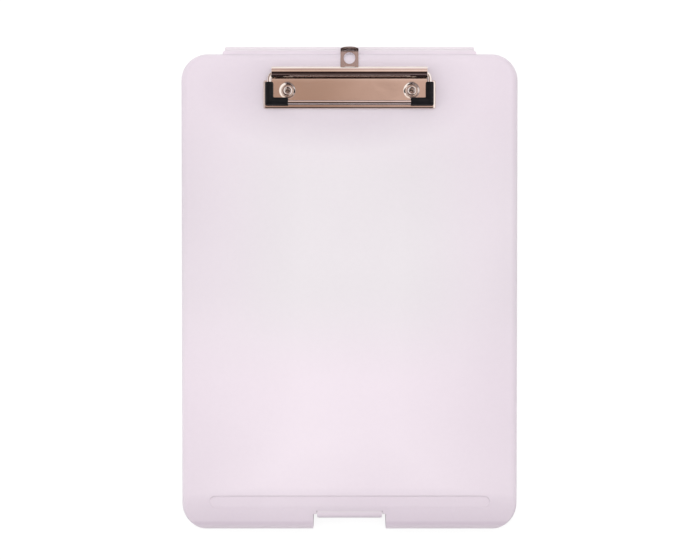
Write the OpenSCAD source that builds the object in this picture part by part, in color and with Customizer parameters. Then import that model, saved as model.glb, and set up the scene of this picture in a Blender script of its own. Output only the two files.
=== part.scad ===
// Storage clipboard box: a shallow tray with a hinged lid that is also the writing board.
// Seen from above, X runs across, Y runs from the front edge to the rear hinge, Z is up.

/* [Case] */
// Width of the case, side to side
case_w = 235; // [225:1:260]
// Depth of the case, front edge to rear edge, without the hinge strip
case_d = 333; // [325:1:370]
// Height of the tray half
tray_h = 13; // [12:0.5:25]
// Height of the lid half, up to the writing face
lid_h = 7; // [6.8:0.1:10]
// Thickness of the moulded walls and of the tray's floor
wall = 1.8; // [1.4:0.1:2.2]
// Thickness of the writing board
board_t = 2; // [1.6:0.1:2.6]
// Radius of the case's corners, seen from above
corner_r = 18.5; // [12:0.5:24]
// Radius of the lid's rounded upper edge
lid_edge_r = 5; // [3.5:0.1:5.2]
// Radius of the tray's rounded lower edge
tray_edge_r = 3; // [2.5:0.1:4]
// Gap between the closed lid and the tray's rim
parting_gap = 0.2; // [0.1:0.05:0.5]

/* [Front slope and pen groove] */
// Distance from the front edge to where the board starts to slope down
slope_d = 24; // [22:0.5:30]
// How far the slope has dropped at the front edge
slope_drop = 2.4; // [1:0.1:2.6]
// Length of the pen groove, with its round ends
groove_l = 196; // [120:1:200]
// Width of the pen groove
groove_w = 8; // [6:0.5:9]
// Depth of the pen groove below the board
groove_depth = 1; // [0.6:0.1:1.2]

/* [Inside of the tray] */
// Clear depth of the pen tray, front wall to divider
pen_tray_d = 26; // [22:0.5:32]
// Thickness of the divider
divider_t = 1.6; // [1.2:0.1:2.4]
// Height of the divider above the tray's floor
divider_h = 8; // [5:0.5:10]
// Thickness of the raised lip that locates the lid
lip_t = 1.2; // [0.8:0.1:1.6]
// Height of the raised lip above the tray's rim
lip_rise = 1.6; // [1:0.1:2]
// Clearance between the raised lip and the lid's wall
lip_gap = 0.25; // [0.15:0.05:0.4]

/* [Hinge strip] */
// Width of the flanges on the tray and lid that carry the strip
hinge_w = 177.4; // [120:1:190]
// Thickness of the flanges
flange_t = 1.6; // [1.2:0.1:1.8]
// How far the flanges stand out behind the case
flange_out = 2.6; // [2.2:0.1:4]
// Thickness of the rigid hinge strip
spine_t = 2.2; // [1.6:0.1:2.6]
// How much shorter the strip is than the flanges, at each end
spine_inset = 1.4; // [0.5:0.1:4]
// Thickness of the thin living hinges
web_t = 0.5; // [0.3:0.05:0.6]
// Inner bend radius of the closed living hinges
web_bend_r = 0.6; // [0.5:0.05:0.8]

/* [Latch] */
// Width of the finger notch in the front edge
notch_w = 51; // [44:0.5:60]
// Depth of the finger notch, seen from above
notch_d = 9.9; // [9:0.1:11]
// Gap between each side of the notch and the latch flap
flap_side_gap = 2.7; // [1.5:0.1:5]
// Thickness of the latch flap
flap_t = 1.8; // [1.4:0.1:2]
// Distance from the front edge to the flap's finger lip
flap_lip_d = 6.8; // [5:0.1:6.9]
// How far the finger lip stands out from the flap
flap_lip = 1.6; // [0.8:0.1:1.8]
// Radius of the flap's outer bend
flap_bend_r = 2.5; // [2:0.1:3]
// Height of the flap's lower edge above the tray's underside
flap_foot = 2.2; // [1:0.1:4]
// How far the tray's catch bead stands out from the notch wall
catch_bead = 0.7; // [0.4:0.05:0.9]
// Depth of the catch bead below the tray's rim
catch_drop = 5; // [4:0.1:6]
// Clearance between the flap's bead and the catch bead as they pass
catch_gap = 0.15; // [0.1:0.05:0.3]

/* [Clip] */
// Width of the clip plate
clip_w = 120.4; // [100:1:150]
// Thickness of the clip's sheet steel
sheet = 0.8; // [0.6:0.05:1]
// Distance from the case's rear edge to the axis of the rolled barrel
barrel_d = 13; // [10:0.5:20]
// Plate between the barrel's axis and the shoulders
shoulder_d = 5.3; // [5:0.1:6]
// Plate beyond the front bar of the bail
clip_lip = 4.7; // [3:0.1:7]
// Wire diameter of the bail
wire_d = 3; // [2.4:0.1:3.2]
// Distance from the barrel's axis to the bail's front bar
bail_reach = 20.6; // [19:0.1:26]
// Centre-line radius of the bail's front corners
bail_bend_r = 1.8; // [1.7:0.1:3]
// Length of the rubber grips along the bail's arms, from the front bar
grip_arm = 13.5; // [8:0.5:15]
// Length of the rubber grips along the front bar, from the arms
grip_bar = 13.2; // [8:0.5:20]
// Clearance between the rubber grips and the plate
grip_gap = 0.35; // [0.3:0.05:0.5]

/* [Rivets] */
// Distance from each end of the clip plate to the rivet's axis
rivet_inset = 17; // [14.5:0.1:24]
// Distance from the barrel's axis forward to the rivets
rivet_d = 12.8; // [12.4:0.1:14]
// Diameter of the rivets' hollow shanks
rivet_od = 4.6; // [4:0.1:5]
// Diameter of the hole through the rivets
rivet_bore = 3.6; // [2.8:0.1:3.8]
// Diameter of the rivet heads
rivet_head = 7.2; // [6.6:0.1:7.4]
// Diameter of the pressed dishes that the rivets sit in
dish_od = 11.2; // [10:0.1:12]
// Diameter of the washers under the board
washer_od = 10; // [9:0.5:14]

/* [Hanger] */
// Width of the hanging tab
hanger_w = 12.6; // [11:0.1:16]
// Thickness of the hanging tab
hanger_t = 0.8; // [0.6:0.1:1]
// Play above and below the hanging tab
hanger_play = 0.2; // [0.1:0.05:0.3]
// Diameter of the hanging hole
hanger_hole = 8; // [5:0.1:9]
// Distance from the case's rear edge forward to the hole's centre
hanger_hole_d = 3.2; // [3:0.1:6]
// How far the closed tab's upturned end stands out behind the case
hanger_out = 4.7; // [3:0.1:5]
// Height of the tab's upturned end
hanger_lip = 2.6; // [2:0.1:3.4]
// Angle that the tab's end is bent up from flat
hanger_lip_a = 50; // [40:1:70]
// Radius of the arched outline of the tab's end
hanger_arch_r = 14; // [12:0.5:30]
// Width of the T-shaped tail that stops the tab
tail_w = 24; // [20:0.5:40]

/* [Hidden] */
$fn = 64;
over = 1;

// Case planes
strip_out = flange_out + web_bend_r + spine_t;
y_front = -(case_d + strip_out) / 2;
y_rear = y_front + case_d;
y_case = (y_front + y_rear) / 2;
lid_z = tray_h + parting_gap;
board_z = lid_z + lid_h;

// Hinge strip: a closed living hinge is a quarter ring round web_y and web_z, turning about its middle
strip_floor_gap = 1;
flange_lift = 0.4;
tray_flange_z = spine_t + strip_floor_gap;
lid_flange_z = lid_z + flange_lift;
web_y = y_rear + flange_out;
tray_web_z = tray_flange_z + web_bend_r;
lid_web_z = lid_flange_z - web_bend_r;
flange_end_r = 2;

// Latch: distances are measured back from the front edge
flap_w = notch_w - 2 * flap_side_gap;
flap_face_d = flap_lip_d + flap_lip;
flap_back_d = flap_face_d + flap_t;
flap_bead = 0.35;
notch_wall_d = flap_back_d + flap_bead + catch_gap + catch_bead;
latch_web_l = 1.2;
flap_top_l = 1.2;
latch_web_d = flap_face_d + flap_bend_r + flap_top_l;
pocket_d = latch_web_d + latch_web_l;
pocket_gap = 0.3;
latch_top_z = board_z - slope_fall(latch_web_d + latch_web_l / 2);
bead_r = 0.8;
catch_inset = 6;
catch_z = tray_h - catch_drop;
flap_bead_z = catch_z - 2 * bead_r - parting_gap;
flap_taper = 0.75;
flap_corner = 1.2;

// Clip: measured from the case's rear edge and up from the writing face
clip_rise = hanger_t + 2 * hanger_play;
clip_top = clip_rise + sheet;
bearing_gap = 0.05;
leg_gap = 0.1;
barrel_bore = 2 * (wire_d + bearing_gap) + leg_gap;
barrel_od = barrel_bore + 2 * sheet;
barrel_z = clip_rise + barrel_od / 2;
clip_margin = 1.7;
bail_end_gap = 0.25;
grip_od = barrel_od - 2 * (sheet + grip_gap);
arm_x = clip_w / 2 - clip_margin - grip_od / 2;
barrel_w = 2 * (arm_x - wire_d / 2 - bail_end_gap);
clip_front_d = barrel_d + bail_reach + clip_lip;
leg_y = (wire_d + leg_gap) / 2;
leg_end_gap = 4;
root_r = wire_d / 2 + bail_end_gap;
grip_fit = 0.05;

// Rivets
rivet_pitch = clip_w - 2 * rivet_inset;
rivet_fit = 0.1;
dish_floor_d = rivet_head + 0.6;
washer_t = 0.8;
rivet_head_h = 1;
rivet_roll_h = 0.5;
rivet_roll = 0.9;

// Hanging tab
guide_r = 1.5;
guide_gap = 0.25;
guide_x = hanger_w / 2 + guide_gap + guide_r;
guide_d = barrel_d + 4.6;
tail_l = 2.4;
tail_gap = 0.8;
tail_d = clip_front_d - sheet - tail_gap;

// Colours
frosted = [0.93, 0.9, 0.93];
nickel = [0.78, 0.74, 0.7];
black_rubber = [0.06, 0.06, 0.06];

// Drop of the sloping front below the board, at distance d behind the front edge
function slope_fall(d) = slope_drop * (slope_d - d) / slope_d;

// Rectangle with round corners, centred
module round_rect(w, d, r) {
    square([w - 2 * r, d], center = true);
    square([w, d - 2 * r], center = true);
    for (x = [-1, 1], y = [-1, 1])
        translate([x * (w / 2 - r), y * (d / 2 - r)]) circle(r);
}

// Upright plate with round corners, standing on z = 0
module round_slab(w, d, r, h) {
    linear_extrude(h) round_rect(w, d, r);
}

// Half section of an edge: r wide, h high, its upper outer corner rounded by e
module edge_section(r, h, e) {
    difference() {
        square([r, h]);
        translate([r - e, h - e]) difference() {
            square(e + over);
            circle(e);
        }
    }
}

// Block with round corners r and an upper edge rounded by e, standing on z = 0
module soft_block(w, d, r, h, e) {
    translate([-(w / 2 - r), -(d / 2 - r), 0]) cube([w - 2 * r, d - 2 * r, h]);
    for (side = [0, 180]) rotate(side) {
        translate([w / 2 - r, d / 2 - r, 0]) rotate([90, 0, 0])
            linear_extrude(d - 2 * r) edge_section(r, h, e);
        translate([-(w / 2 - r), d / 2 - r, 0]) rotate([90, 0, 90])
            linear_extrude(w - 2 * r) edge_section(r, h, e);
        translate([w / 2 - r, d / 2 - r, 0]) rotate_extrude(angle = 90) edge_section(r, h, e);
        translate([-(w / 2 - r), d / 2 - r, 0]) rotate(90)
            rotate_extrude(angle = 90) edge_section(r, h, e);
    }
}

// Flat drawing of a YZ section, drawn as [distance, height], swept across the part, centred
module sweep_x(length) {
    translate([-length / 2, 0, 0]) rotate([90, 0, 90]) linear_extrude(length) children();
}

// Places its children so that their y is the distance behind the front edge
module from_front() {
    translate([0, y_front, 0]) children();
}

// Places its children on the writing face, with y = 0 at the case's rear edge
module on_board() {
    translate([0, y_rear, board_z]) children();
}

// Everything above the sloping front, with the slope running into a round front edge
module above_slope(sink, edge_r) {
    edge_z = board_z - slope_fall(edge_r) - edge_r;
    from_front() translate([0, 0, -sink]) sweep_x(case_w + 2 * over) {
        polygon([[edge_r, board_z - slope_fall(edge_r)], [slope_d, board_z],
            [slope_d, board_z + over + sink], [edge_r, board_z + over + sink]]);
        difference() {
            translate([-over, edge_z]) square([edge_r + over, edge_r + slope_drop + over + sink]);
            translate([edge_r, edge_z]) circle(edge_r);
        }
    }
}

// Space of the finger notch, wider by grow at each side and depth deep
module notch_space(grow, depth) {
    from_front() translate([-(notch_w / 2 + grow), -over, -over])
        cube([notch_w + 2 * grow, depth + over, board_z + 2 * over]);
}

// Flange that carries the hinge strip, its underside at z
module hinge_flange(z) {
    root = wall / 2;
    translate([0, y_rear - root, z]) linear_extrude(flange_t) {
        translate([-hinge_w / 2, 0]) square([hinge_w, root + flange_out - flange_end_r]);
        translate([-(hinge_w / 2 - flange_end_r), 0])
            square([hinge_w - 2 * flange_end_r, root + flange_out]);
        for (x = [-1, 1])
            translate([x * (hinge_w / 2 - flange_end_r), root + flange_out - flange_end_r])
                circle(flange_end_r);
    }
}

// Quarter ring of a closed living hinge; up = 1 for the lid's and -1 for the tray's
module hinge_web(z, up) {
    translate([0, web_y, z]) sweep_x(hinge_w - 2 * flange_end_r) intersection() {
        difference() {
            circle(web_bend_r + web_t);
            circle(web_bend_r);
        }
        rotate(up > 0 ? 0 : -90) square(web_bend_r + web_t);
    }
}

// Tray half: floor, walls, notch wall with its catch bead, pen divider and locating lip
module tray() {
    color(frosted) union() {
        difference() {
            union() {
                translate([0, y_case, tray_h]) mirror([0, 0, 1])
                    soft_block(case_w, case_d, corner_r, tray_h, tray_edge_r);
                hinge_flange(tray_flange_z - flange_t);
            }
            difference() {
                translate([0, y_case, tray_h + over]) mirror([0, 0, 1])
                    soft_block(case_w - 2 * wall, case_d - 2 * wall, corner_r - wall,
                        tray_h - wall + over, tray_edge_r - wall);
                notch_space(wall, notch_wall_d + wall);
            }
            notch_space(0, notch_wall_d);
        }
        from_front() translate([-(case_w / 2 - wall / 2), wall + pen_tray_d, wall / 2])
            cube([case_w - wall, divider_t, divider_h + wall / 2]);
        locating_lip();
        catch();
    }
}

// Raised lip inside the rim, left out at the notch and in front of the hinge
module locating_lip() {
    lip_out = wall + lip_gap;
    lip_in = lip_out + lip_t;
    root_h = 3;
    root = wall / 2;
    difference() {
        union() {
            translate([0, y_case, tray_h - root_h])
                round_slab(case_w - 2 * root, case_d - 2 * root, corner_r - root, root_h);
            translate([0, y_case, tray_h - over])
                round_slab(case_w - 2 * lip_out, case_d - 2 * lip_out, corner_r - lip_out,
                    lip_rise + over);
        }
        translate([0, y_case, tray_h - root_h - over])
            round_slab(case_w - 2 * lip_in, case_d - 2 * lip_in, corner_r - lip_in,
                root_h + lip_rise + 2 * over);
        notch_space(wall + lip_gap, notch_wall_d + wall + lip_in);
        translate([-case_w / 2, y_rear - corner_r - wall, 0]) cube([case_w, case_d, 2 * tray_h]);
    }
}

// Half-round bead on the notch wall that the latch flap passes
module catch() {
    from_front() sweep_x(flap_w - 2 * catch_inset)
        translate([notch_wall_d - catch_bead + bead_r, catch_z]) intersection() {
            circle(bead_r);
            translate([-bead_r, -bead_r]) square([bead_r + wall / 2, 2 * bead_r]);
        }
}

// Long slot shape of the pen groove
module groove_outline() {
    half = (groove_l - groove_w) / 2;
    square([2 * half, groove_w], center = true);
    for (x = [-half, half]) translate([x, 0]) circle(groove_w / 2);
}

// Lid half: writing board with its skirt, front slope, pen groove, notch and hinge flange
module lid_board() {
    color(frosted) difference() {
        union() {
            translate([0, y_case, lid_z]) soft_block(case_w, case_d, corner_r, lid_h, lid_edge_r);
            hinge_flange(lid_flange_z);
        }
        above_slope(0, lid_edge_r);
        difference() {
            translate([0, y_case, lid_z - over])
                soft_block(case_w - 2 * wall, case_d - 2 * wall, corner_r - wall,
                    lid_h - board_t + over, lid_edge_r - wall);
            above_slope(board_t, lid_edge_r);
            notch_space(wall, pocket_d + wall);
        }
        notch_space(0, notch_d);
        notch_space(pocket_gap - flap_side_gap, pocket_d);
        from_front() translate([0, slope_d - groove_w / 2, board_z - groove_depth])
            linear_extrude(groove_depth + over) groove_outline();
        rivet_places() translate([0, 0, -board_t - over])
            cylinder(d = rivet_od + 2 * rivet_fit, h = board_t + 2 * over);
    }
}

// Rigid strip between the two living hinges
module hinge_strip() {
    strip_w = hinge_w - 2 * spine_inset;
    color(frosted) translate([0, web_y + web_bend_r, tray_web_z])
        linear_extrude(lid_web_z - tray_web_z) {
            translate([-strip_w / 2, 0]) square([strip_w, spine_t / 2]);
            translate([-(strip_w - spine_t) / 2, 0]) square([strip_w - spine_t, spine_t]);
            for (x = [-1, 1]) translate([x * (strip_w - spine_t) / 2, spine_t / 2])
                circle(spine_t / 2);
        }
}

module tray_living_hinge() {
    color(frosted) hinge_web(tray_web_z, -1);
}

module lid_living_hinge() {
    color(frosted) hinge_web(lid_web_z, 1);
}

// Side outline of the latch flap: top, bend, front, finger lip and inner bead
module flap_section() {
    bend_d = flap_face_d + flap_bend_r;
    bend_z = latch_top_z - flap_bend_r;
    translate([bend_d, latch_top_z - flap_t]) square([latch_web_d - bend_d, flap_t]);
    intersection() {
        translate([bend_d, bend_z]) difference() {
            circle(flap_bend_r);
            circle(flap_bend_r - flap_t);
        }
        translate([flap_face_d, bend_z]) square(flap_bend_r);
    }
    translate([flap_face_d, flap_foot]) square([flap_t, bend_z - flap_foot]);
    translate([flap_lip_d + flap_t / 2, flap_foot]) square([flap_back_d - flap_lip_d - flap_t / 2, flap_t]);
    translate([flap_lip_d + flap_t / 2, flap_foot + flap_t / 2]) circle(flap_t / 2);
    translate([flap_back_d + flap_bead - bead_r, flap_bead_z]) circle(bead_r);
}

// Latch flap, a little narrower at its foot, with the foot's corners cut off
module latch_flap() {
    top = flap_w / 2;
    foot = top - flap_taper;
    color(frosted) from_front() intersection() {
        sweep_x(flap_w) flap_section();
        translate([0, latch_web_d + over, 0]) rotate([90, 0, 0]) linear_extrude(latch_web_d)
            polygon([[-top, latch_top_z + over], [-foot, flap_foot + flap_corner],
                [flap_corner - foot, flap_foot], [foot - flap_corner, flap_foot],
                [foot, flap_foot + flap_corner], [top, latch_top_z + over]]);
    }
}

module latch_living_hinge() {
    color(frosted) from_front()
        translate([-(flap_w / 2 - pocket_gap), latch_web_d, latch_top_z - web_t])
            cube([flap_w - 2 * pocket_gap, latch_web_l, web_t]);
}

// Both rivet axes, on the writing face
module rivet_places(sides = [-1, 1]) {
    on_board() for (x = sides)
        translate([x * rivet_pitch / 2, -(barrel_d + rivet_d), 0]) children();
}

// Pressed steel plate with folded edges, a rolled barrel, rivet dishes and guide dimples
module clip_plate() {
    pan_d = clip_front_d - barrel_d - shoulder_d;
    color(nickel) difference() {
        union() {
            on_board() {
                difference() {
                    translate([0, -(clip_front_d - pan_d / 2), 0])
                        soft_block(clip_w, pan_d, clip_top, clip_top, clip_top);
                    translate([0, -(clip_front_d - pan_d / 2), -over])
                        soft_block(clip_w - 2 * sheet, pan_d - 2 * sheet, clip_rise, clip_rise + over,
                            clip_rise);
                    translate([-(barrel_w / 2 - sheet), -(barrel_d + shoulder_d + 2 * sheet), -over])
                        cube([barrel_w - 2 * sheet, 3 * sheet, clip_rise + over]);
                }
                translate([-barrel_w / 2, -(barrel_d + shoulder_d + sheet), clip_rise])
                    cube([barrel_w, shoulder_d + sheet, sheet]);
                translate([-barrel_w / 2, -barrel_d, barrel_z]) rotate([0, 90, 0])
                    cylinder(d = barrel_od, h = barrel_w);
                for (x = [-1, 1]) translate([x * guide_x, -guide_d, 0])
                    cylinder(r = guide_r, h = clip_rise + sheet / 2);
            }
            rivet_places() cylinder(d1 = dish_floor_d + sheet, d2 = dish_od + sheet, h = clip_top);
        }
        on_board() translate([-barrel_w / 2 - over, -barrel_d, barrel_z]) rotate([0, 90, 0])
            cylinder(d = barrel_bore, h = barrel_w + 2 * over);
        rivet_places() {
            translate([0, 0, sheet]) cylinder(d1 = dish_floor_d, d2 = dish_od, h = clip_rise);
            translate([0, 0, clip_top - 0.001]) cylinder(d = dish_od, h = over);
            translate([0, 0, -over]) cylinder(d = rivet_od + 2 * rivet_fit, h = clip_top + over);
        }
    }
}

// Square bend of wire or tube in the XY plane, from +X round to +Y
module bend(r, d) {
    rotate_extrude(angle = 90) translate([r, 0]) circle(d = d);
}

// One side of the wire bail: half of the front bar, a corner, an arm and its leg in the barrel
module bail_side(leg_y) {
    leg_l = barrel_w - leg_end_gap;
    translate([0, -bail_reach, 0]) rotate([0, 90, 0]) cylinder(d = wire_d, h = arm_x - bail_bend_r);
    translate([arm_x - bail_bend_r, bail_bend_r - bail_reach, 0]) rotate(-90)
        bend(bail_bend_r, wire_d);
    translate([arm_x, leg_y - root_r, 0]) rotate([90, 0, 0])
        cylinder(d = wire_d, h = bail_reach - bail_bend_r + leg_y - root_r);
    translate([arm_x - root_r, leg_y - root_r, 0]) bend(root_r, wire_d);
    translate([arm_x - root_r - leg_l, leg_y, 0]) rotate([0, 90, 0]) cylinder(d = wire_d, h = leg_l);
}

// Spring wire bail; its two legs lie side by side in the barrel and turn there together
module wire_bail() {
    color(nickel) on_board() translate([0, -barrel_d, barrel_z]) {
        bail_side(-leg_y);
        mirror([1, 0, 0]) bail_side(leg_y);
    }
}

// Mitred L of round rubber on the bail's right front corner
module grip_body() {
    reach = grip_od / 2;
    translate([arm_x, -bail_reach, 0]) {
        intersection() {
            translate([-grip_bar, 0, 0]) rotate([0, 90, 0]) cylinder(d = grip_od, h = grip_bar + reach);
            linear_extrude(grip_od, center = true)
                polygon([[-grip_bar, -reach], [reach, -reach], [-reach, reach], [-grip_bar, reach]]);
        }
        intersection() {
            translate([0, grip_arm, 0]) rotate([90, 0, 0]) cylinder(d = grip_od, h = grip_arm + reach);
            linear_extrude(grip_od, center = true)
                polygon([[reach, grip_arm], [reach, -reach], [-reach, reach], [-reach, grip_arm]]);
        }
    }
}

// Passage for the wire round the bail's right front corner, open at both ends
module grip_passage() {
    d = wire_d + 2 * grip_fit;
    translate([arm_x - grip_bar - over, -bail_reach, 0]) rotate([0, 90, 0])
        cylinder(d = d, h = grip_bar - bail_bend_r + over);
    translate([arm_x - bail_bend_r, bail_bend_r - bail_reach, 0]) rotate(-90) bend(bail_bend_r, d);
    translate([arm_x, grip_arm - bail_reach + over, 0]) rotate([90, 0, 0])
        cylinder(d = d, h = grip_arm - bail_bend_r + over);
}

// Rubber grip over one front corner of the bail
module grip(side) {
    color(black_rubber) on_board() translate([0, -barrel_d, barrel_z])
        mirror([side < 0 ? 1 : 0, 0, 0]) difference() {
            grip_body();
            grip_passage();
        }
}

module grip_left() {
    grip(-1);
}

module grip_right() {
    grip(1);
}

// Hollow rivet: domed head in the dish, shank through the board, rolled end below the washer
module rivet(side) {
    foot = -(board_t + washer_t + rivet_roll_h);
    shank_r = rivet_od / 2;
    head_r = rivet_head / 2;
    bore_r = rivet_bore / 2;
    color(nickel) rivet_places([side]) rotate_extrude() difference() {
        union() {
            translate([0, foot]) square([shank_r, sheet - foot]);
            translate([0, foot]) square([shank_r + rivet_roll, rivet_roll_h]);
            translate([0, sheet]) square([head_r - rivet_head_h / 2, rivet_head_h]);
            translate([0, sheet]) square([head_r, rivet_head_h / 2]);
            translate([head_r - rivet_head_h / 2, sheet + rivet_head_h / 2]) circle(rivet_head_h / 2);
        }
        translate([-over, foot - over]) square([bore_r + over, sheet + rivet_head_h - foot + 2 * over]);
    }
}

module rivet_left() {
    rivet(-1);
}

module rivet_right() {
    rivet(1);
}

// Washer between the underside of the board and the rivet's rolled end
module washer(side) {
    color(nickel) rivet_places([side]) translate([0, 0, -board_t - washer_t]) difference() {
        cylinder(d = washer_od, h = washer_t);
        translate([0, 0, -over]) cylinder(d = rivet_od + 2 * rivet_fit, h = washer_t + 2 * over);
    }
}

module washer_left() {
    washer(-1);
}

module washer_right() {
    washer(1);
}

// Side outline of the tab's end: the strip, bent up by hanger_lip_a on an inner radius of hanger_t
module tab_section() {
    bend_r = 2 * hanger_t;
    lean = hanger_lip / tan(hanger_lip_a);
    bend_y = hanger_out - lean - bend_r * sin(hanger_lip_a);
    translate([-tail_d, 0]) square([tail_d + bend_y, hanger_t]);
    translate([bend_y, bend_r]) rotate(-90) intersection() {
        difference() {
            circle(bend_r);
            circle(hanger_t);
        }
        polygon([[0, 0], [2 * bend_r, 0], [2 * bend_r, bend_r * tan(hanger_lip_a)],
            [bend_r * cos(hanger_lip_a), bend_r * sin(hanger_lip_a)]]);
    }
    translate([bend_y, bend_r]) rotate(hanger_lip_a) translate([0, -bend_r])
        square([hanger_lip / sin(hanger_lip_a), hanger_t]);
}

// Pull-out hanging tab: strip with a hole, an upturned arched end and a T-shaped tail
module hanging_tab() {
    color(nickel) on_board() {
        difference() {
            intersection() {
                translate([0, 0, hanger_play]) sweep_x(hanger_w) tab_section();
                union() {
                    translate([0, hanger_out - hanger_arch_r, -over])
                        cylinder(r = hanger_arch_r, h = 2 * hanger_lip + 2 * over);
                    translate([-hanger_w / 2, -tail_d, -over])
                        cube([hanger_w, tail_d, 2 * hanger_lip + 2 * over]);
                }
            }
            translate([0, -hanger_hole_d, -over]) cylinder(d = hanger_hole, h = 3 * over);
        }
        translate([-tail_w / 2, -tail_d, hanger_play]) cube([tail_w, tail_l, hanger_t]);
    }
}

tray();
lid_board();
hinge_strip();
tray_living_hinge();
lid_living_hinge();
latch_flap();
latch_living_hinge();
clip_plate();
wire_bail();
grip_left();
grip_right();
rivet_left();
rivet_right();
washer_left();
washer_right();
hanging_tab();
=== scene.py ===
"""Storage clipboard box: frosted tray and lid with a low wire clip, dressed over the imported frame."""

import math

import bpy
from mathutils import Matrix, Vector


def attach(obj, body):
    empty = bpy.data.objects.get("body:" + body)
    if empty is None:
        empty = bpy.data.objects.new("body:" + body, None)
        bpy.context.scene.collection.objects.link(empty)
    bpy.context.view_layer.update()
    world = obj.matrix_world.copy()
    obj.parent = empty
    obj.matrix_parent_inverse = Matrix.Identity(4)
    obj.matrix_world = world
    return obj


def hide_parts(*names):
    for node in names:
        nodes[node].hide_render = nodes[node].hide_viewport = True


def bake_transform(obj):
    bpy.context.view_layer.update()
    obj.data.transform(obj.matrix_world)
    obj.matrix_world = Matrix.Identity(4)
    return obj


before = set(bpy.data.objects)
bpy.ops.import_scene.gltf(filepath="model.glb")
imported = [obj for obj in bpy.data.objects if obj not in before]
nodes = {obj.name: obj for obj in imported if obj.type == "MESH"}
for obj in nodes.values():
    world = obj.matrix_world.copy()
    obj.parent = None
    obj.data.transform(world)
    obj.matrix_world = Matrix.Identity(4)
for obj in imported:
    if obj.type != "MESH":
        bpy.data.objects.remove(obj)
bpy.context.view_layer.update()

MM = 0.001
NEAR = 0.01  # mm, when picking by place
MERGE = 1e-6  # m, for meshes copied from the frame
WELD = 1e-5  # m, for meshes folded here
FLAT_ANGLE = 0.3  # degrees, below which two faces are one
FLAT_WEIGHT = 80  # how far large faces outweigh the small ones beside them

# ---------------------------------------------------------------- camera

LENS = 85.0
SENSOR = 36.0
CAMERA_HEIGHT = 1.1545
CAMERA_TILT = math.radians(1.35)
AIM = Vector((0.35, 6.1, 20.0)) * MM


def add_camera():
    """Looks almost straight down on the writing face, the clip at the top of the picture."""
    data = bpy.data.cameras.new("camera")
    data.lens = LENS
    data.sensor_width = SENSOR
    camera = bpy.data.objects.new("camera", data)
    bpy.context.scene.collection.objects.link(camera)
    camera.location = AIM + Vector((0, math.sin(CAMERA_TILT), math.cos(CAMERA_TILT))) * CAMERA_HEIGHT
    camera.rotation_euler = (-CAMERA_TILT, 0, 0)
    bpy.context.scene.camera = camera


add_camera()

# ---------------------------------------------------------------- picking and modelling helpers


def near(a, b):
    return abs(a - b) < NEAR


def clear_selection():
    if bpy.context.object and bpy.context.object.mode != "OBJECT":
        bpy.ops.object.mode_set(mode="OBJECT")
    bpy.ops.object.select_all(action="DESELECT")


def pick(piece):
    """Makes piece the only selected and the active object."""
    clear_selection()
    piece.select_set(True)
    bpy.context.view_layer.objects.active = piece


def edit(piece):
    pick(piece)
    bpy.ops.object.mode_set(mode="EDIT")
    bpy.ops.mesh.select_all(action="DESELECT")


def leave_edit():
    bpy.ops.object.mode_set(mode="OBJECT")


def cast(node, name, cuts_x=(), cuts_y=()):
    """A merged copy of a CAD node's mesh, cut at planes in mm, as a new piece to finish by hand."""
    piece = bpy.data.objects.new(name, nodes[node].data.copy())
    bpy.context.scene.collection.objects.link(piece)
    piece.data.name = name
    pick(piece)
    bpy.ops.mesh.customdata_custom_splitnormals_clear()
    edit(piece)
    bpy.ops.mesh.select_all(action="SELECT")
    bpy.ops.mesh.remove_doubles(threshold=MERGE)
    bpy.ops.mesh.dissolve_limited(angle_limit=math.radians(FLAT_ANGLE))
    cuts = [((x, 0, 0), (1, 0, 0)) for x in cuts_x] + [((0, y, 0), (0, 1, 0)) for y in cuts_y]
    for place, normal in cuts:
        bpy.ops.mesh.select_all(action="SELECT")
        bpy.ops.mesh.bisect(plane_co=Vector(place) * MM, plane_no=normal)
    leave_edit()
    return piece


def soften(piece, width, segments=2, angle=55.0):
    """Breaks the sharp edges, as moulding and stamping leave them."""
    bevel = piece.modifiers.new("edges", "BEVEL")
    bevel.width = width * MM
    bevel.segments = segments
    bevel.limit_method = "ANGLE"
    bevel.angle_limit = math.radians(angle)
    bevel.use_clamp_overlap = False
    bevel.miter_outer = "MITER_ARC"
    pick(piece)
    bpy.ops.object.modifier_apply(modifier=bevel.name)
    smooth(piece, angle)
    weigh_normals(piece)


def weigh_normals(piece):
    """Keeps large flat faces flat next to their rounded edges."""
    weighted = piece.modifiers.new("weighted", "WEIGHTED_NORMAL")
    weighted.keep_sharp = True
    weighted.weight = FLAT_WEIGHT
    pick(piece)
    bpy.ops.object.modifier_apply(modifier=weighted.name)


def smooth(piece, angle=45.0):
    pick(piece)
    bpy.ops.object.shade_smooth_by_angle(angle=math.radians(angle))


def dress(piece, material):
    piece.data.materials.clear()
    piece.data.materials.append(material)


def place_at_origin(piece):
    pick(piece)
    bpy.ops.object.transform_apply(location=True, rotation=True, scale=True)


def select_edges(piece, wanted):
    """Selects the edges whose middle, in mm, makes wanted(x, y, z) true."""
    pick(piece)
    for edge in piece.data.edges:
        middle = sum((piece.data.vertices[v].co for v in edge.vertices), Vector()) / 2 / MM
        edge.select = wanted(*middle)
    for vertex in piece.data.vertices:
        vertex.select = False
    for edge in piece.data.edges:
        if edge.select:
            for v in edge.vertices:
                piece.data.vertices[v].select = True
    for face in piece.data.polygons:
        face.select = False
    bpy.ops.object.mode_set(mode="EDIT")
    bpy.context.tool_settings.mesh_select_mode = (False, True, False)


def select_vertices(piece, wanted):
    """Selects the vertices whose place, in mm, makes wanted(x, y, z) true."""
    edit(piece)
    leave_edit()
    for vertex in piece.data.vertices:
        vertex.select = bool(wanted(*(vertex.co / MM)))
    bpy.ops.object.mode_set(mode="EDIT")
    bpy.context.tool_settings.mesh_select_mode = (True, False, False)


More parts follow.
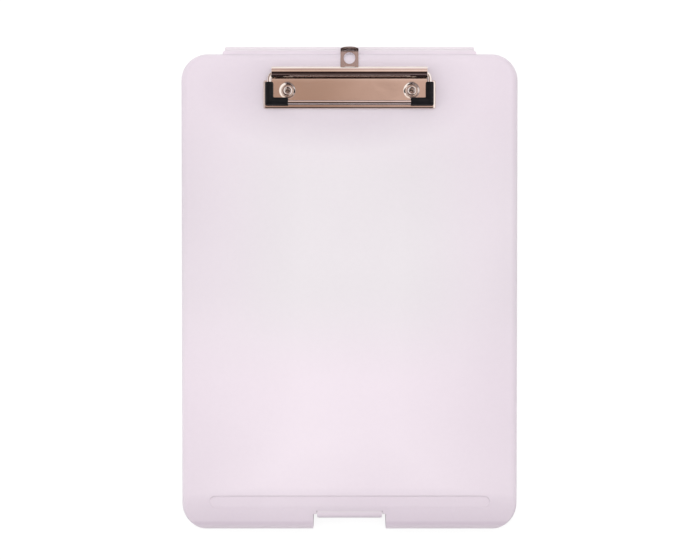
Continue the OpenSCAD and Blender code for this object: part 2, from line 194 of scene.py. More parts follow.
def select_caps(piece, wanted):
    """Selects the end faces of a round bar whose centre, in mm, makes wanted(x, y, z) true."""
    edit(piece)
    leave_edit()
    for face in piece.data.polygons:
        face.select = len(face.vertices) > 4 and bool(wanted(*(face.center / MM)))
    bpy.ops.object.mode_set(mode="EDIT")
    bpy.context.tool_settings.mesh_select_mode = (False, False, True)


def nudge(piece, wanted, move):
    """Moves vertices by move, in mm."""
    select_vertices(piece, wanted)
    bpy.ops.transform.translate(value=Vector(move) * MM)
    leave_edit()


def squeeze(piece, wanted, factors, centre):
    """Scales vertices about centre, in mm."""
    select_vertices(piece, wanted)
    bpy.ops.transform.resize(value=factors, center_override=Vector(centre) * MM)
    leave_edit()


def extrude(move):
    """Extrudes what is selected by move, in mm."""
    bpy.ops.mesh.extrude_region_move(TRANSFORM_OT_translate={"value": Vector(move) * MM})


def spin(centre, axis, degrees, steps):
    """Spins what is selected about centre, in mm, right-handed, which the operator counts as negative."""
    bpy.ops.mesh.spin(
        steps=steps, angle=-math.radians(degrees), center=Vector(centre) * MM, axis=axis, dupli=False
    )


def extrude_edges(piece, wanted, move):
    select_edges(piece, wanted)
    extrude(move)
    leave_edit()


def spin_edges(piece, wanted, centre, axis, degrees, steps):
    select_edges(piece, wanted)
    spin(centre, axis, degrees, steps)
    leave_edit()


def extrude_cap(piece, wanted, *moves):
    """Extrudes an end face of a round bar by each of moves in turn."""
    select_caps(piece, wanted)
    for move in moves:
        extrude(move)
    leave_edit()


def bend_cap(piece, wanted, centre, steps):
    """Carries an end face of a round bar through a square bend, seen from above."""
    select_caps(piece, wanted)
    spin(centre, (0, 0, 1), 90, steps)
    leave_edit()


def merge(piece):
    """Welds the vertices that folding left on each other and turns the faces outwards."""
    edit(piece)
    bpy.ops.mesh.select_all(action="SELECT")
    bpy.ops.mesh.remove_doubles(threshold=WELD)
    bpy.ops.mesh.normals_make_consistent(inside=False)
    leave_edit()


def carve(piece, cutter, operation="DIFFERENCE"):
    """Joins or cuts piece with cutter, which is used up."""
    boolean = piece.modifiers.new("carve", "BOOLEAN")
    boolean.operation = operation
    boolean.solver = "EXACT"
    boolean.object = cutter
    pick(piece)
    bpy.ops.object.modifier_apply(modifier=boolean.name)
    bpy.data.objects.remove(cutter)


# ---------------------------------------------------------------- material building


class Graph:
    """Short words for placing and joining shader nodes."""

    def __init__(self, tree):
        self.tree = tree

    def node(self, kind, links=None, **values):
        made = self.tree.nodes.new(kind)
        for key, value in values.items():
            setattr(made, key, value)
        for socket, source in (links or {}).items():
            if isinstance(source, bpy.types.NodeSocket):
                self.tree.links.new(source, made.inputs[socket])
            else:
                made.inputs[socket].default_value = source
        return made

    def noise(self, where, scale, detail, roughness, distortion=0.0):
        links = {"Vector": where, "Scale": scale, "Detail": detail, "Roughness": roughness}
        return self.node("ShaderNodeTexNoise", {**links, "Distortion": distortion}).outputs["Fac"]

    def remap(self, value, low, high, to_low, to_high, kind="LINEAR"):
        return self.node(
            "ShaderNodeMapRange",
            {"Value": value, "From Min": low, "From Max": high, "To Min": to_low, "To Max": to_high},
            interpolation_type=kind,
        ).outputs["Result"]

    def math(self, operation, a, b=0.0):
        made = self.node("ShaderNodeMath", {0: a, 1: b}, operation=operation)
        return made.outputs[0]

    def blend_colour(self, factor, a, b, mode="MIX"):
        made = self.node("ShaderNodeMix", data_type="RGBA", blend_type=mode)
        for socket, source in ((0, factor), (6, a), (7, b)):
            if isinstance(source, bpy.types.NodeSocket):
                self.tree.links.new(source, made.inputs[socket])
            else:
                made.inputs[socket].default_value = source
        return made.outputs[2]


def new_group(name, inputs, outputs):
    """A shader node group from (name, socket type, default) inputs and (name, socket type) outputs."""
    group = bpy.data.node_groups.new(name, "ShaderNodeTree")
    for label, kind, default in inputs:
        socket = group.interface.new_socket(name=label, in_out="INPUT", socket_type=kind)
        if default is not None:
            socket.default_value = default
    for label, kind in outputs:
        group.interface.new_socket(name=label, in_out="OUTPUT", socket_type=kind)
    graph = Graph(group)
    return group, graph, graph.node("NodeGroupInput"), graph.node("NodeGroupOutput")


PUT_OUT = [("Colour", "NodeSocketColor"), ("Roughness", "NodeSocketFloat")]

# Painted shade, darker towards the deep colour (lighter where negative), along Y and outwards along X:
# from, to (m) and by how much
FRONT_PAINTED_SHADE = (
    (-0.110, -0.139, 0.12),
    (-0.139, -0.147, 0.27),
    (-0.147, -0.1635, 0.26),
    (-0.1628, -0.1642, 0.27),
    (-0.1650, -0.1674, -0.48),
)
REAR_PAINTED_SHADE = (-0.03, 0.165, 0.14)
SIDE_PAINTED_SHADE = (0.034, 0.117, 0.32)
# Painted shadow in an oval round the clip: mapping location and scale, then from, to (in its radii) and
# by how much
CLIP_SHADOW_LOCATION, CLIP_SHADOW_SCALE = (0.11, -4.3, 0.0), (14.0, 31.0, 0.0)
CLIP_SHADOW_BAND = (1.4, 0.75, 0.36)
# The middle of the board looks a little cooler
COOL_TINT = (0.904, 0.949, 0.914, 1)
COOL_FRONT = (-0.074, 0.006, 0.0, 1.0)
COOL_REAR = (0.070, 0.150, 1.0, 0.25)
COOL_SIDES = (0.040, 0.100, 1.0, 0.45)
FLECK_SCALE, SMEAR_SCALE = 420.0, 38.0


def frosting_and_shade_group():
    """Cloudy colour, fine grain and satin roughness of frosted polypropylene, with painted shade towards
    its rims and a painted shadow round the clip.
    """
    group, g, given, out = new_group(
        "frosting_and_painted_shade",
        [
            ("Place", "NodeSocketVector", None),
            ("Pale", "NodeSocketColor", (0.84, 0.80, 0.83, 1)),
            ("Deep", "NodeSocketColor", (0.80, 0.75, 0.80, 1)),
            ("Cloud Scale", "NodeSocketFloat", 7.0),
            ("Grain Scale", "NodeSocketFloat", 2600.0),
            ("Satin", "NodeSocketFloat", 0.42),
        ],
        PUT_OUT + [("Grain", "NodeSocketFloat")],
    )
    place = given.outputs["Place"]
    parts = g.node("ShaderNodeSeparateXYZ", {"Vector": place})
    along, off_centre = parts.outputs["Y"], g.math("ABSOLUTE", parts.outputs["X"])

    def painted_shade_band(value, start, end, depth):
        return g.remap(value, start, end, 0.0, depth)

    # Painted shade: darker towards the front, the rear and the sides
    front = 0.0
    for edges in FRONT_PAINTED_SHADE:
        front = g.math("ADD", front, painted_shade_band(along, *edges))
    rear, sides = painted_shade_band(along, *REAR_PAINTED_SHADE), painted_shade_band(off_centre, *SIDE_PAINTED_SHADE)
    # Painted shadow of the clip on the board, darker inside an oval round it
    around_clip = g.node(
        "ShaderNodeMapping", {"Vector": place, "Location": CLIP_SHADOW_LOCATION, "Scale": CLIP_SHADOW_SCALE}
    )
    away = g.node("ShaderNodeVectorMath", {0: around_clip.outputs["Vector"]}, operation="LENGTH")
    painted_clip_shadow = painted_shade_band(away.outputs["Value"], *CLIP_SHADOW_BAND)
    cloud = g.noise(place, given.outputs["Cloud Scale"], 2.0, 0.45)
    fleck = g.noise(place, FLECK_SCALE, 2.0, 0.6)
    # depth adds the painted shade and the painted shadow round the clip, before the random clouding
    depth = g.math("ADD", g.math("MAXIMUM", front, sides), g.math("ADD", rear, painted_clip_shadow))
    clouding = g.remap(cloud, 0.32, 0.68, -0.05, 0.10)
    uneven = g.math("ADD", clouding, g.remap(fleck, 0.3, 0.7, -0.015, 0.03))
    mixed = g.math("MINIMUM", g.math("MAXIMUM", g.math("ADD", depth, uneven), 0.0), 1.0)
    colour = g.blend_colour(mixed, given.outputs["Pale"], given.outputs["Deep"])
    cooler = g.math(
        "MULTIPLY", g.remap(along, *COOL_FRONT, "SMOOTHSTEP"), g.remap(along, *COOL_REAR, "SMOOTHSTEP")
    )
    cooler = g.math("MULTIPLY", cooler, g.remap(off_centre, *COOL_SIDES, "SMOOTHSTEP"))
    colour = g.blend_colour(cooler, colour, COOL_TINT, "MULTIPLY")
    grain = g.noise(place, given.outputs["Grain Scale"], 4.0, 0.6)
    smear = g.noise(place, SMEAR_SCALE, 3.0, 0.55, 0.4)
    rough = g.math("ADD", given.outputs["Satin"], g.remap(smear, 0.3, 0.7, -0.05, 0.06))
    g.tree.links.new(colour, out.inputs["Colour"])
    g.tree.links.new(rough, out.inputs["Roughness"])
    g.tree.links.new(grain, out.inputs["Grain"])
    return group


BRUSHING = (60.0, 2200.0, 2200.0)
PLATE_SMEAR_SCALE, PIT_SCALE = 55.0, 1500.0


def plating_group():
    """Fine polishing lines, faint smears and pits of bright nickel plate."""
    group, g, given, out = new_group(
        "plating",
        [
            ("Place", "NodeSocketVector", None),
            ("Bright", "NodeSocketColor", (0.84, 0.80, 0.76, 1)),
            ("Stained", "NodeSocketColor", (0.74, 0.68, 0.62, 1)),
            ("Polish", "NodeSocketFloat", 0.1),
        ],
        PUT_OUT + [("Relief", "NodeSocketFloat")],
    )
    place = given.outputs["Place"]
    stretched = g.node("ShaderNodeMapping", {"Vector": place, "Scale": BRUSHING}).outputs["Vector"]
    lines = g.noise(stretched, 1.0, 3.0, 0.6)
    smear = g.noise(place, PLATE_SMEAR_SCALE, 3.0, 0.55, 0.6)
    pits = g.noise(place, PIT_SCALE, 2.0, 0.5)
    stain = g.remap(smear, 0.35, 0.75, 0.0, 0.8)
    colour = g.blend_colour(stain, given.outputs["Bright"], given.outputs["Stained"])
    rough = g.math("ADD", given.outputs["Polish"], g.remap(smear, 0.4, 0.75, 0.0, 0.06))
    rough = g.math("ADD", rough, g.remap(lines, 0.4, 0.7, 0.0, 0.03))
    relief = g.math("ADD", g.math("MULTIPLY", lines, 0.6), g.math("MULTIPLY", pits, 0.4))
    g.tree.links.new(colour, out.inputs["Colour"])
    g.tree.links.new(rough, out.inputs["Roughness"])
    g.tree.links.new(relief, out.inputs["Relief"])
    return group


FROSTING_AND_SHADE = frosting_and_shade_group()
PLATING = plating_group()
RUBBER_BLACK, RUBBER_DUSTY = (0.004, 0.004, 0.005, 1), (0.010, 0.009, 0.011, 1)


def new_material(name):
    material = bpy.data.materials.new(name)
    material.use_nodes = True
    tree = material.node_tree
    tree.nodes.clear()
    g = Graph(tree)
    shader = g.node("ShaderNodeBsdfPrincipled")
    out = g.node("ShaderNodeOutputMaterial", {"Surface": shader.outputs["BSDF"]})
    out.is_active_output = True
    place = g.node("ShaderNodeTexCoord").outputs["Object"]
    return material, g, shader, place


def use_group(g, group, place, **values):
    made = g.node("ShaderNodeGroup", node_tree=group)
    g.tree.links.new(place, made.inputs["Place"])
    for label, value in values.items():
        made.inputs[label.replace("_", " ")].default_value = value
    return made


def wire_up(g, shader, used, relief, strength, distance):
    """Joins a group's colour and roughness, and its relief as a bump, to the shader."""
    g.tree.links.new(used.outputs["Colour"], shader.inputs["Base Color"])
    g.tree.links.new(used.outputs["Roughness"], shader.inputs["Roughness"])
    add_bump(g, shader, used.outputs[relief], strength, distance)


def add_bump(g, shader, height, strength, distance):
    bump = g.node("ShaderNodeBump", {"Height": height, "Strength": strength, "Distance": distance})
    g.tree.links.new(bump.outputs["Normal"], shader.inputs["Normal"])


def frosted_plastic(name, pale, deep, satin=0.42):
    """Translucent milky polypropylene, its colour with painted shade towards the rims and a painted
    shadow round the clip.
    """
    material, g, shader, place = new_material(name)
    frost = use_group(g, FROSTING_AND_SHADE, place, Pale=pale, Deep=deep, Satin=satin)
    wire_up(g, shader, frost, "Grain", 0.16, 0.0001)
    shader.inputs["IOR"].default_value = 1.49
    shader.inputs["Transmission Weight"].default_value = 0.25
    return material


def nickel(name, bright, stained, polish):
    """Bright nickel plate on steel."""
    material, g, shader, place = new_material(name)
    plate = use_group(g, PLATING, place, Bright=bright, Stained=stained, Polish=polish)
    wire_up(g, shader, plate, "Relief", 0.02, 0.00005)
    shader.inputs["Metallic"].default_value = 1.0
    return material


def rubber(name):
    """Matt black rubber with a little dust."""
    material, g, shader, place = new_material(name)
    grain = g.noise(place, 1800.0, 4.0, 0.6)
    dust = g.noise(place, 260.0, 3.0, 0.6)
    colour = g.blend_colour(g.remap(dust, 0.45, 0.8, 0.0, 1.0), RUBBER_BLACK, RUBBER_DUSTY)
    g.tree.links.new(colour, shader.inputs["Base Color"])
    g.tree.links.new(g.remap(grain, 0.3, 0.7, 0.42, 0.6), shader.inputs["Roughness"])
    add_bump(g, shader, grain, 0.15, 0.0001)
    shader.inputs["Specular IOR Level"].default_value = 0.17
    return material


# The deep colour that the painted shade and the clouding darken towards
LAVENDER = (0.64, 0.55, 0.63, 1)

frost_board = frosted_plastic("frost_board", (0.905, 0.815, 0.88, 1), LAVENDER)
frost_tray = frosted_plastic("frost_tray", (0.86, 0.79, 0.84, 1), LAVENDER)
frost_hinge = frosted_plastic("frost_hinge", (0.87, 0.80, 0.845, 1), (0.72, 0.64, 0.70, 1), satin=0.36)
plated_sheet = nickel("plated_sheet", (0.82, 0.74, 0.68, 1), (0.78, 0.69, 0.62, 1), polish=0.05)
plated_wire = nickel("plated_wire", (0.86, 0.80, 0.76, 1), (0.80, 0.73, 0.68, 1), polish=0.05)
plated_small = nickel("plated_small", (0.84, 0.78, 0.74, 1), (0.76, 0.69, 0.65, 1), polish=0.12)
plated_tab = nickel("plated_tab", (0.66, 0.62, 0.63, 1), (0.58, 0.53, 0.54, 1), polish=0.14)
grip_rubber = rubber("grip_rubber")

# ---------------------------------------------------------------- plastic pieces

# Planes that cut the large flat faces, in mm, so that their shading stays even
ACROSS = (-112, -98, -60, -30, 0, 30, 60, 98, 112)
ALONG = (-155, -150.7, -139, -120, -60, 0, 60, 120, 145, 158)
# The notch's inner wall in the lid, the height that splits it, and the rise of the slope it moves along
NOTCH_X, NOTCH_Y, NOTCH_Z = 25.6, -159.3, 14.0
NOTCH_DEEPER, NOTCH_RISE = 1.1, 0.11
# The lower lip of the latch flap
LIP_Y, LIP_Z, LIP_LONGER = -161.0, 4.1, 0.9
# The latch's living hinge: its front edge and the step of the cuts across it
WEB_Y, WEB_STEP = -157.1, 0.1


def hand_over(piece, body, node, material):
    dress(piece, material)
    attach(piece, body)
    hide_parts(node)


def deepen_notch(lid):
    """Moves the finger notch's inner wall back to where the photo shows it."""

    def on_wall(x, y):
        return abs(x) < NOTCH_X and near(y, NOTCH_Y)

    nudge(lid, lambda x, y, z: on_wall(x, y) and z < NOTCH_Z, (0, NOTCH_DEEPER, 0))
    nudge(lid, lambda x, y, z: on_wall(x, y) and z > NOTCH_Z, (0, NOTCH_DEEPER, NOTCH_RISE))


def add_moulded_shells():
    """Tray, lid, strip and latch flap with the soft edges of a moulding."""
    for node, name, body, slot, material, width, cuts_x, cuts_y in (
        ("tray", "tray_shell", "tray", "frosted_tray", frost_tray, 0.2, ACROSS, ALONG),
        ("lid_board", "lid_shell", "lid", "frosted_board", frost_board, 0.2, ACROSS, ALONG),
        ("hinge_strip", "strip_bar", "strip", "frosted_strip", frost_hinge, 0.25, (-60, 0, 60), ()),
        ("latch_flap", "latch_plate", "latch", "frosted_flap", frost_board, 0.2, (-15, 0, 15), ()),
    ):
        piece = cast(node, name, cuts_x, cuts_y)
        if node == "lid_board":
            deepen_notch(piece)
        if node == "latch_flap":
            nudge(piece, lambda x, y, z: y < LIP_Y and z < LIP_Z, (0, -LIP_LONGER, 0))
        soften(piece, width)
        hand_over(piece, body, node, material)


def add_living_hinges():
    """Thin webs over the joints they cross, copied from the frame, smoothed and dressed, and not attached
    to any body.
    """
    latch_cuts = [WEB_Y + WEB_STEP * step for step in range(1, 12)]
    for node, name, bodies, start, end in (
        ("tray_living_hinge", "tray_web", ("tray", "strip"), (0, 166.4, 2.95), (0, 167.25, 3.8)),
        ("lid_living_hinge", "lid_web", ("strip", "lid"), (0, 167.25, 13.0), (0, 166.4, 13.85)),
        ("latch_living_hinge", "latch_web", ("lid", "latch"), (0, -155.9, 18.8), (0, WEB_Y, 18.8)),
    ):
        piece = cast(node, name, (-60, 0, 60), latch_cuts if name == "latch_web" else ())
        smooth(piece, 50.0)
        dress(piece, frost_hinge)
        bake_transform(piece)
        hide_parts(node)


add_moulded_shells()
add_living_hinges()

# ---------------------------------------------------------------- metal pieces

ROUND_SIDES, WIRE_SIDES = 64, 28
FOLD_STEPS, BARREL_STEPS, CORNER_STEPS, ROOT_STEPS = 6, 44, 8, 12
# The plate's sheet is laid out as its middle surface, in mm
SHEET = 0.8
BOARD_Z = 20.2
MID_Z = 21.8
FOLD_R = MID_Z - BOARD_Z
PAN_X, PAN_FRONT, PAN_REAR = 58.2, 127.2, 143.5
BARREL_X, BARREL_Y, BARREL_Z = 54.0, 150.5, 25.3
BARREL_TURN = 275.0
BARREL_FOOT_Z = 21.9
# Where the sheet dips between the pan and the barrel: (y, z)
THROAT = (
    (145.3, 21.78), (146.2, 21.74), (147.3, 21.70), (148.3, 21.58), (149.4, 21.62),
    (BARREL_Y, BARREL_FOOT_Z),
)
FRONT_SQUEEZE = 0.6
RIVET_X, RIVET_Y = 43.2, 138.0
GUIDE_X, GUIDE_Y, GUIDE_R = 8.05, 146.2, 1.5


# Cones of (radius below, radius above, z below, z above)
DISH_UNDER = (4.3, 6.0, BOARD_Z + 0.02, BOARD_Z + 2.0)
DISH_OVER = (3.9, 5.75, BOARD_Z + SHEET, BOARD_Z + 2.1)
RIVET_HOLE = (2.4, 2.4, BOARD_Z - 1, BOARD_Z + 2.5)
POST = (GUIDE_R, GUIDE_R, BOARD_Z, MID_Z - 0.1)


def cone(name, x, r_low, r_high, z_low, z_high, y=RIVET_Y):
    """A round cutter or core on a rivet's axis or at y, in mm."""
    clear_selection()
    bpy.ops.mesh.primitive_cone_add(
        vertices=ROUND_SIDES,
        radius1=r_low * MM,
        radius2=r_high * MM,
        depth=(z_high - z_low) * MM,
        location=Vector((x, y, (z_low + z_high) / 2)) * MM,
    )
    made = bpy.context.object
    made.name = name
    place_at_origin(made)
    return made


def fold_ends(plate, side):
    """The ears' rear edge, the side flange and the two rounded corners of one end."""
    spin_edges(
        plate, lambda x, y, z: near(y, PAN_REAR) and near(z, MID_Z) and side * x > BARREL_X,
        (0, PAN_REAR, BOARD_Z), (1, 0, 0), -90, FOLD_STEPS,
    )
    spin_edges(
        plate, lambda x, y, z: near(x, side * PAN_X) and near(z, MID_Z),
        (side * PAN_X, 0, BOARD_Z), (0, side, 0), 90, FOLD_STEPS,
    )
    spin_edges(
        plate, lambda x, y, z: near(x, side * PAN_X) and y < PAN_FRONT - 0.01,
        (side * PAN_X, PAN_FRONT, 0), (0, 0, side), 90, FOLD_STEPS,
    )
    spin_edges(
        plate, lambda x, y, z: near(x, side * PAN_X) and y > PAN_REAR + 0.01,
        (side * PAN_X, PAN_REAR, 0), (0, 0, -side), 90, FOLD_STEPS,
    )


def add_pressed_plate():
    """Sheet folded down round its pan and rolled into a barrel, with rivet dishes and guide posts."""
    clear_selection()
    pan_middle = Vector((0, (PAN_FRONT + PAN_REAR) / 2, MID_Z))
    bpy.ops.mesh.primitive_plane_add(size=1.0, location=pan_middle * MM)
    plate = bpy.context.object
    plate.name = "pressed_plate"
    plate.scale = (2 * PAN_X * MM, (PAN_REAR - PAN_FRONT) * MM, 1)
    place_at_origin(plate)
    edit(plate)
    for x in (-BARREL_X, BARREL_X):
        bpy.ops.mesh.select_all(action="SELECT")
        bpy.ops.mesh.bisect(plane_co=(x * MM, 0, 0), plane_no=(1, 0, 0))
    leave_edit()
    y_end, z_end = PAN_REAR, MID_Z
    for y_next, z_next in THROAT:
        extrude_edges(
            plate, lambda x, y, z: near(y, y_end) and near(z, z_end) and abs(x) < BARREL_X,
            (0, y_next - y_end, z_next - z_end),
        )
        y_end, z_end = y_next, z_next
    spin_edges(
        plate, lambda x, y, z: near(y, BARREL_Y) and near(z, BARREL_FOOT_Z),
        (0, BARREL_Y, BARREL_Z), (1, 0, 0), BARREL_TURN, BARREL_STEPS,
    )
    spin_edges(
        plate, lambda x, y, z: near(y, PAN_FRONT) and near(z, MID_Z),
        (0, PAN_FRONT, BOARD_Z), (1, 0, 0), 90, FOLD_STEPS,
    )
    for side in (-1, 1):
        fold_ends(plate, side)
    merge(plate)
    front_edge = (0, PAN_FRONT - FOLD_R, 0)
    squeeze(plate, lambda x, y, z: y < PAN_FRONT + 0.001, (1, FRONT_SQUEEZE, 1), front_edge)
    thick = plate.modifiers.new("sheet", "SOLIDIFY")
    thick.thickness = SHEET * MM
    thick.offset = 0.0
    thick.use_even_offset = True
    pick(plate)
    bpy.ops.object.modifier_apply(modifier=thick.name)
    for side in (-1, 1):
        x = side * RIVET_X
        carve(plate, cone("dish_under", x, *DISH_UNDER), "UNION")
        carve(plate, cone("dish_over", x, *DISH_OVER))
        carve(plate, cone("rivet_hole", x, *RIVET_HOLE))
        carve(plate, cone("guide_post", side * GUIDE_X, *POST, y=GUIDE_Y), "UNION")
    soften(plate, 0.18, 3, 32.0)
    hand_over(plate, "lid", "clip_plate", plated_sheet)


WIRE_R = 1.5
ARM_X, BAR_Y = 55.75, 129.6
CORNER_BEND, ROOT_BEND = 2.5, 5.0
# Inside the barrel each leg leaves the axis at WIRE_END_X, to lie beside the other
WIRE_END_X = 36.0
LEG_BEND, LEG_SHIFT, LEG_RUN = 8.0, 1.52, 53.0


def add_bent_wire():
    """One round wire: front bar, two arms, and legs that pass side by side inside the barrel."""
    clear_selection()
    bpy.ops.mesh.primitive_circle_add(
        vertices=WIRE_SIDES, radius=WIRE_R * MM, fill_type="NGON",
        location=Vector((0, BAR_Y, BARREL_Z)) * MM, rotation=(0, math.pi / 2, 0),
    )
    wire = bpy.context.object
    wire.name = "bent_wire"
    place_at_origin(wire)
    corner_x, corner_y = ARM_X - CORNER_BEND, BAR_Y + CORNER_BEND
    root_x, root_y = ARM_X - ROOT_BEND, BARREL_Y - ROOT_BEND
    extrude_cap(wire, lambda x, y, z: True, (corner_x, 0, 0))
    bend_cap(wire, lambda x, y, z: near(x, corner_x), (corner_x, corner_y, 0), CORNER_STEPS)
    extrude_cap(wire, lambda x, y, z: near(y, corner_y), (0, root_y - corner_y, 0))
    bend_cap(wire, lambda x, y, z: near(y, root_y), (root_x, root_y, 0), ROOT_STEPS)
    extrude_cap(wire, lambda x, y, z: near(x, root_x), (WIRE_END_X - root_x, 0, 0))
    # Without the cap at x = 0 the mirrored halves join with no wall between them
    select_caps(wire, lambda x, y, z: near(x, 0))
    bpy.ops.mesh.delete(type="ONLY_FACE")
    leave_edit()
    mirror = wire.modifiers.new("other_arm", "MIRROR")
    mirror.use_axis = (True, False, False)
    mirror.use_mirror_merge = True
    mirror.merge_threshold = WELD
    pick(wire)
    bpy.ops.object.modifier_apply(modifier=mirror.name)
    merge(wire)
    for side in (-1, 1):
        bend, run = (-side * LEG_BEND, -side * LEG_SHIFT, 0), (-side * LEG_RUN, 0, 0)
        extrude_cap(wire, lambda x, y, z: near(x, side * WIRE_END_X), bend, run)
    smooth(wire, 40.0)
    hand_over(wire, "bail", "wire_bail", plated_wire)


GRIP_VOXEL, GRIP_ROUNDING = 0.22, 40


def add_grips():
    """Rubber grips with the rounded corners of a moulding."""
    for node, name in (("grip_left", "rubber_left"), ("grip_right", "rubber_right")):
        piece = cast(node, name)
        remesh = piece.modifiers.new("remesh", "REMESH")
        remesh.mode = "VOXEL"
        remesh.voxel_size = GRIP_VOXEL * MM
        pick(piece)
        bpy.ops.object.modifier_apply(modifier=remesh.name)
        even = piece.modifiers.new("even", "SMOOTH")
        even.factor = 0.5
        even.iterations = GRIP_ROUNDING
        bpy.ops.object.modifier_apply(modifier=even.name)
        smooth(piece, 60.0)
        hand_over(piece, "bail", node, grip_rubber)


# The rolled head is the upper half of a ring; the rest are cones of (radius below, above, z below, above)
HEAD_RING_R, HEAD_TUBE_R, HEAD_Z, HEAD_CUT_Z = 2.64, 0.93, 21.05, 21.02
SHANK = (2.3, 2.3, 17.1, 21.3)
SPREAD_END = (3.1, 3.2, 16.9, 17.4)
HOLLOW = (1.73, 1.73, 19.2, 22.6)
HOLLOW_TIP = (0.12, 1.73, 17.3, 19.21)


def add_rivet(side, name, node):
    """Hollow rivet with a rolled head, a shank through the board and a spread end."""
    x = side * RIVET_X
    clear_selection()
    bpy.ops.mesh.primitive_torus_add(
        major_segments=ROUND_SIDES, minor_segments=20,
        major_radius=HEAD_RING_R * MM, minor_radius=HEAD_TUBE_R * MM,
        location=Vector((x, RIVET_Y, HEAD_Z)) * MM,
    )
    rivet = bpy.context.object
    rivet.name = name
    place_at_origin(rivet)
    edit(rivet)
    bpy.ops.mesh.select_all(action="SELECT")
    bpy.ops.mesh.bisect(
        plane_co=Vector((x, RIVET_Y, HEAD_CUT_Z)) * MM, plane_no=(0, 0, 1),
        use_fill=True, clear_inner=True,
    )
    leave_edit()
    carve(rivet, cone("shank", x, *SHANK), "UNION")
    carve(rivet, cone("spread_end", x, *SPREAD_END), "UNION")
    carve(rivet, cone("hollow", x, *HOLLOW))
    carve(rivet, cone("hollow_tip", x, *HOLLOW_TIP))
    soften(rivet, 0.1, 2, 40.0)
    hand_over(rivet, "lid", node, plated_small)


def add_rivets():
    add_rivet(-1, "hollow_rivet_left", "rivet_left")
    add_rivet(1, "hollow_rivet_right", "rivet_right")
    for node in ("washer_left", "washer_right"):
        piece = cast(node, "backing_" + node)
        soften(piece, 0.14, 2, 50.0)
        hand_over(piece, "lid", node, plated_small)


def add_pull_tab():
    piece = cast("hanging_tab", "pull_tab")
    soften(piece, 0.1, 2, 50.0)
    hand_over(piece, "hanger", "hanging_tab", plated_tab)


add_pressed_plate()
add_bent_wire()
add_grips()
add_rivets()
add_pull_tab()

# ---------------------------------------------------------------- stage and light


FLOOR_SIZE, FLOOR_Z = 6.0, -0.0002


def add_floor():
    """A white table that looks plain white to the camera and still takes a soft shadow."""
    clear_selection()
    bpy.ops.mesh.primitive_plane_add(size=FLOOR_SIZE, location=(0, 0, FLOOR_Z))
    floor = bpy.context.object
    floor.name = "floor"
    material = bpy.data.materials.new("floor")
    material.use_nodes = True
    tree = material.node_tree
    tree.nodes.clear()
    g = Graph(tree)
    matt = g.node("ShaderNodeBsdfDiffuse", {"Color": (0.9, 0.9, 0.9, 1)})
    white = g.node("ShaderNodeEmission", {"Color": (1, 1, 1, 1), "Strength": 1.05})
    path = g.node("ShaderNodeLightPath")
    seen = g.math("MAXIMUM", path.outputs["Is Camera Ray"], path.outputs["Is Transmission Ray"])
    share = g.math("MULTIPLY", seen, 0.8)
    mix = g.node("ShaderNodeMixShader", {0: share, 1: matt.outputs[0], 2: white.outputs[0]})
    g.node("ShaderNodeOutputMaterial", {"Surface": mix.outputs[0]})
    dress(floor, material)


EVEN_LIGHT = (0.74, 0.74, 0.74, 1)
# What the plating mirrors: a ramp along Y from front to rear, and changes to it across X
DARK_WALL = (0.022, 0.012, 0.012, 1)
TAN_WALL = (0.495, 0.325, 0.255, 1)
ROOM_STOPS = (
    (-1.0, (0.05, 0.025, 0.025, 1)),
    (-0.92, DARK_WALL),
    (-0.895, (0.26, 0.20, 0.20, 1)),
    (-0.86, (0.26, 0.20, 0.20, 1)),
    (-0.83, (0.07, 0.045, 0.045, 1)),
    (-0.62, (0.07, 0.045, 0.045, 1)),
    (-0.48, DARK_WALL),
    (-0.05, DARK_WALL),
    (0.04, (0.26, 0.18, 0.15, 1)),
    (0.08, TAN_WALL),
    (0.12, TAN_WALL),
    (0.22, (0.70, 0.52, 0.45, 1)),
    (0.42, (0.60, 0.45, 0.38, 1)),
    (0.48, (0.95, 0.74, 0.68, 1)),
    (0.54, (0.95, 0.74, 0.68, 1)),
    (0.60, (0.50, 0.35, 0.30, 1)),
    (0.80, (0.54, 0.38, 0.34, 1)),
    (1.0, (0.80, 0.66, 0.66, 1)),
)


SUNLIT = (1.40, 1.52, 1.66, 1)
RIGHT_WALL = (1.2, 1.17, 1.17, 1)
LEFT_WALL = (0.34, 0.28, 0.28, 1)
FAR_LEFT = (0.95, 0.90, 0.92, 1)
LOW_REAR = (0.88, 0.84, 0.84, 1)
WHITE = (1, 1, 1, 1)


def colour_ramp(g, value, stops):
    """A colour ramp over -1 to 1."""
    made = g.node("ShaderNodeValToRGB", {"Fac": g.remap(value, -1.0, 1.0, 0.0, 1.0)})
    elements = made.color_ramp.elements
    while len(elements) < len(stops):
        elements.new(0.5)
    for element, (place, colour) in zip(elements, stops):
        element.position = (place + 1.0) / 2.0
        element.color = colour
    return made.outputs["Color"]


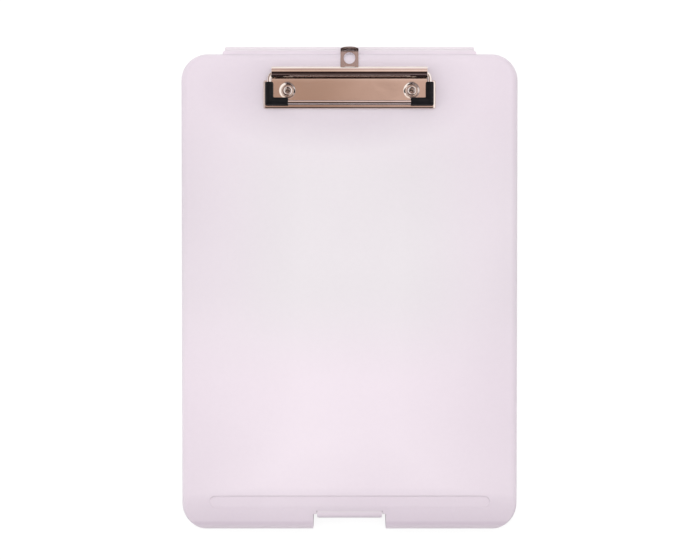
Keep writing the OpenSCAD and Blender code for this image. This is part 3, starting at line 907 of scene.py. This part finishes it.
def add_world():
    """Even light for matt surfaces, white behind the object, a warm room for the plating to mirror."""
    world = bpy.data.worlds.new("studio")
    bpy.context.scene.world = world
    world.use_nodes = True
    tree = world.node_tree
    tree.nodes.clear()
    g = Graph(tree)
    direction = g.node("ShaderNodeTexCoord").outputs["Generated"]
    parts = g.node("ShaderNodeSeparateXYZ", {"Vector": direction})
    across, along, up = parts.outputs["X"], parts.outputs["Y"], parts.outputs["Z"]
    room = colour_ramp(g, along, ROOM_STOPS)
    sunny = g.math(
        "ADD", g.remap(across, -0.017, 0.020, 0.0, 1.0), g.remap(across, -0.036, -0.050, 0.0, 0.5)
    )
    lit = g.blend_colour(sunny, room, SUNLIT, "MULTIPLY")
    low = g.math("MULTIPLY", g.remap(up, 0.32, 0.18, 0.0, 1.0), g.remap(along, -0.2, 0.2, 0.0, 1.0))
    for mask, colour in (
        (g.remap(across, 0.16, 0.30, 0.0, 1.0), RIGHT_WALL),
        (g.remap(across, -0.20, -0.45, 0.0, 1.0), LEFT_WALL),
        (g.remap(across, -0.80, -0.92, 0.0, 1.0), FAR_LEFT),
        (low, LOW_REAR),
    ):
        lit = g.blend_colour(mask, lit, colour)
    path = g.node("ShaderNodeLightPath")
    glossy = g.blend_colour(path.outputs["Is Glossy Ray"], EVEN_LIGHT, lit)
    seen = g.math("MAXIMUM", path.outputs["Is Camera Ray"], path.outputs["Is Transmission Ray"])
    shown = g.blend_colour(seen, glossy, WHITE)
    background = g.node("ShaderNodeBackground", {"Color": shown, "Strength": 1.0})
    g.node("ShaderNodeOutputWorld", {"Surface": background.outputs[0]})


def add_lamp(name, place, size, watts):
    """A plain white area lamp aimed at the origin, not seen in the plating."""
    data = bpy.data.lights.new(name, "AREA")
    data.shape = "RECTANGLE"
    data.size, data.size_y = size
    data.energy = watts
    lamp = bpy.data.objects.new(name, data)
    bpy.context.scene.collection.objects.link(lamp)
    lamp.location = place
    lamp.rotation_euler = (-Vector(place)).to_track_quat("-Z", "Y").to_euler()
    lamp.visible_glossy = False


add_floor()
add_world()
add_lamp("overhead", (0.0, 0.55, 1.6), (1.6, 1.2), 18.0)
add_lamp("left_fill", (-1.3, 0.1, 1.0), (0.9, 0.9), 3.6)

bpy.context.scene.view_settings.view_transform = "Standard"
